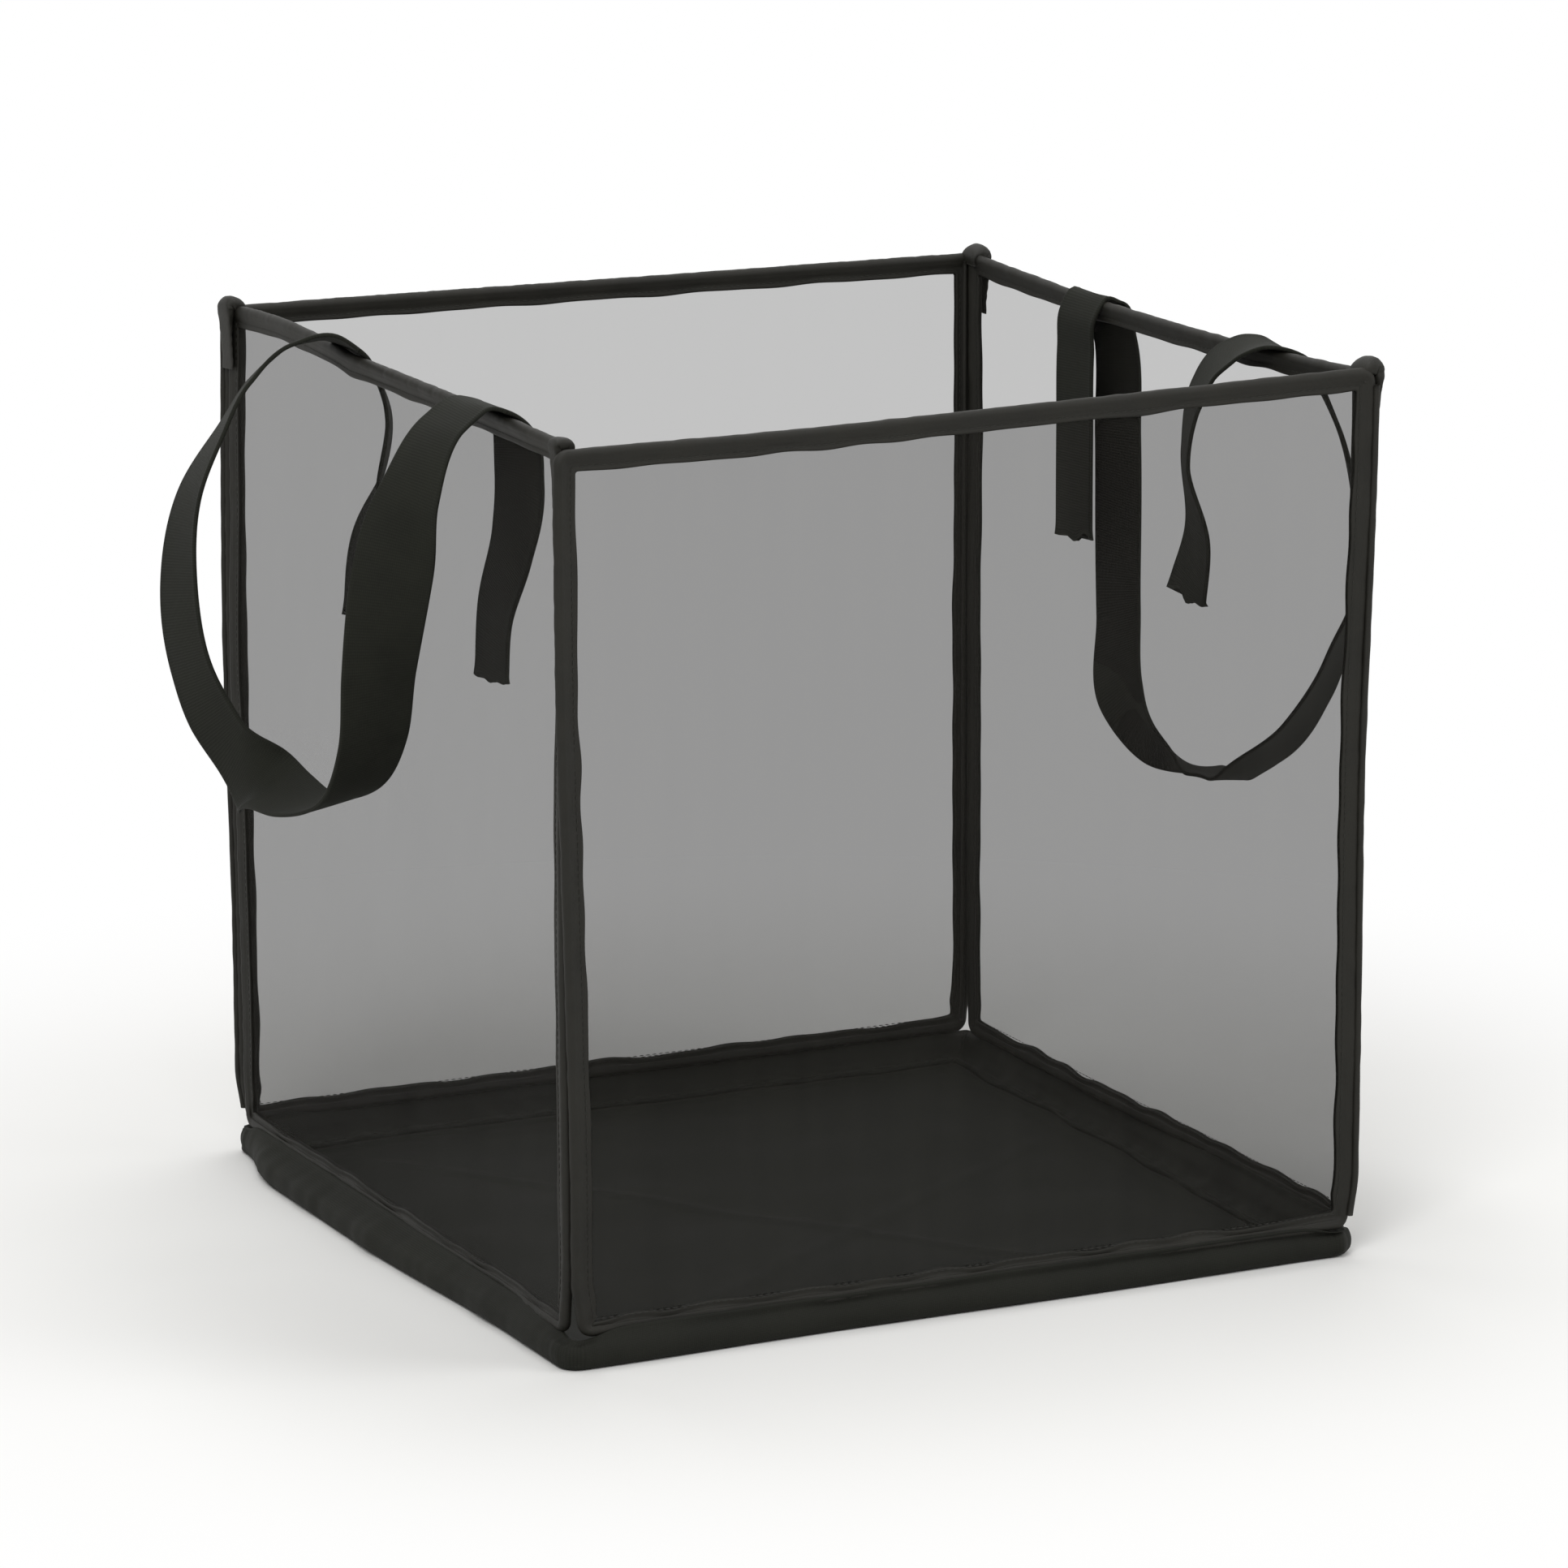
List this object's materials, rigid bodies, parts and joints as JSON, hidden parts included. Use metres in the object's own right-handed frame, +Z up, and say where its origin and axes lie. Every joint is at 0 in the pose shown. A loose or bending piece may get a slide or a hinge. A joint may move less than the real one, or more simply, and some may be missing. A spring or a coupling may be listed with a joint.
{
  "type": "pop up laundry hamper",
  "caption": "Square pop-up hamper of fine mesh walls held open by spring wire loops, with a woven floor, an open top and a webbing carry handle on two opposite sides.",
  "frame": {"origin": "centre of the floor's underside", "axes": "+Z up through the open top, +X from the left wall to the right wall, +Y from the front wall to the back wall; the handles are on the left and right walls"},
  "size_m": [0.4833, 0.3658, 0.3744],
  "materials": {
    "mesh": "fine knitted mesh, see-through",
    "binding": "plain woven binding tape, slight sheen",
    "webbing": "polypropylene webbing, matte",
    "floor_cloth": "woven, matte",
    "piping_cord": "soft filler cord, hidden",
    "spring_steel": "drawn spring wire, hidden"
  },
  "bodies": {
    "base_and_back_wall": {"base_floor": "floor_cloth", "base_edge_binding": "floor_cloth", "base_edge_cord": "piping_cord", "back_wall_casing": "binding", "back_wall_wire": "spring_steel", "back_wall_wire_ferrule": "spring_steel", "back_wall_mesh": "mesh", "back_left_seam": "binding", "back_right_seam": "binding"},
    "left_wall": {"left_wall_casing": "binding", "left_wall_wire": "spring_steel", "left_wall_wire_ferrule": "spring_steel", "left_wall_mesh": "mesh", "left_handle_front_tail": "webbing", "left_handle_back_tail": "webbing", "left_front_binding_tab": "binding", "left_back_binding_tab": "binding"},
    "right_wall": {"right_wall_casing": "binding", "right_wall_wire": "spring_steel", "right_wall_wire_ferrule": "spring_steel", "right_wall_mesh": "mesh", "right_handle_front_tail": "webbing", "right_handle_back_tail": "webbing", "right_front_binding_tab": "binding", "right_back_binding_tab": "binding"},
    "front_wall": {"front_wall_casing": "binding", "front_wall_wire": "spring_steel", "front_wall_wire_ferrule": "spring_steel", "front_wall_mesh": "mesh", "front_left_seam": "binding", "front_right_seam": "binding"},
    "left_handle": {"left_handle_loop": "webbing"},
    "right_handle": {"right_handle_loop": "webbing"}
  },
  "joints": [
    {"name": "left_wall_fold", "type": "hinge", "parent": "base_and_back_wall", "child": "left_wall", "pos_m": [-0.17755, 0.17755, 0], "axis": [0, 0, -1], "range_deg": [0, 90], "stiffness_Nm_per_rad": 0.05},
    {"name": "right_wall_fold", "type": "hinge", "parent": "base_and_back_wall", "child": "right_wall", "pos_m": [0.1714, 0.1714, 0], "axis": [0, 0, -1], "range_deg": [0, 90]},
    {"name": "front_wall_fold", "type": "hinge", "parent": "left_wall", "child": "front_wall", "pos_m": [-0.1714, -0.1714, 0], "axis": [0, 0, -1], "range_deg": [-90, 0]},
    {"name": "left_handle_swing", "type": "hinge", "parent": "left_wall", "child": "left_handle", "pos_m": [-0.175, 0, 0.3682], "axis": [0, 1, 0], "range_deg": [0, 165]},
    {"name": "right_handle_swing", "type": "hinge", "parent": "right_wall", "child": "right_handle", "pos_m": [0.175, 0, 0.3682], "axis": [0, -1, 0], "range_deg": [0, 165]}
  ],
  "couplings": [
    {"joint": "right_wall_fold", "follows": "left_wall_fold", "ratio": 1},
    {"joint": "front_wall_fold", "follows": "left_wall_fold", "ratio": -1}
  ]
}
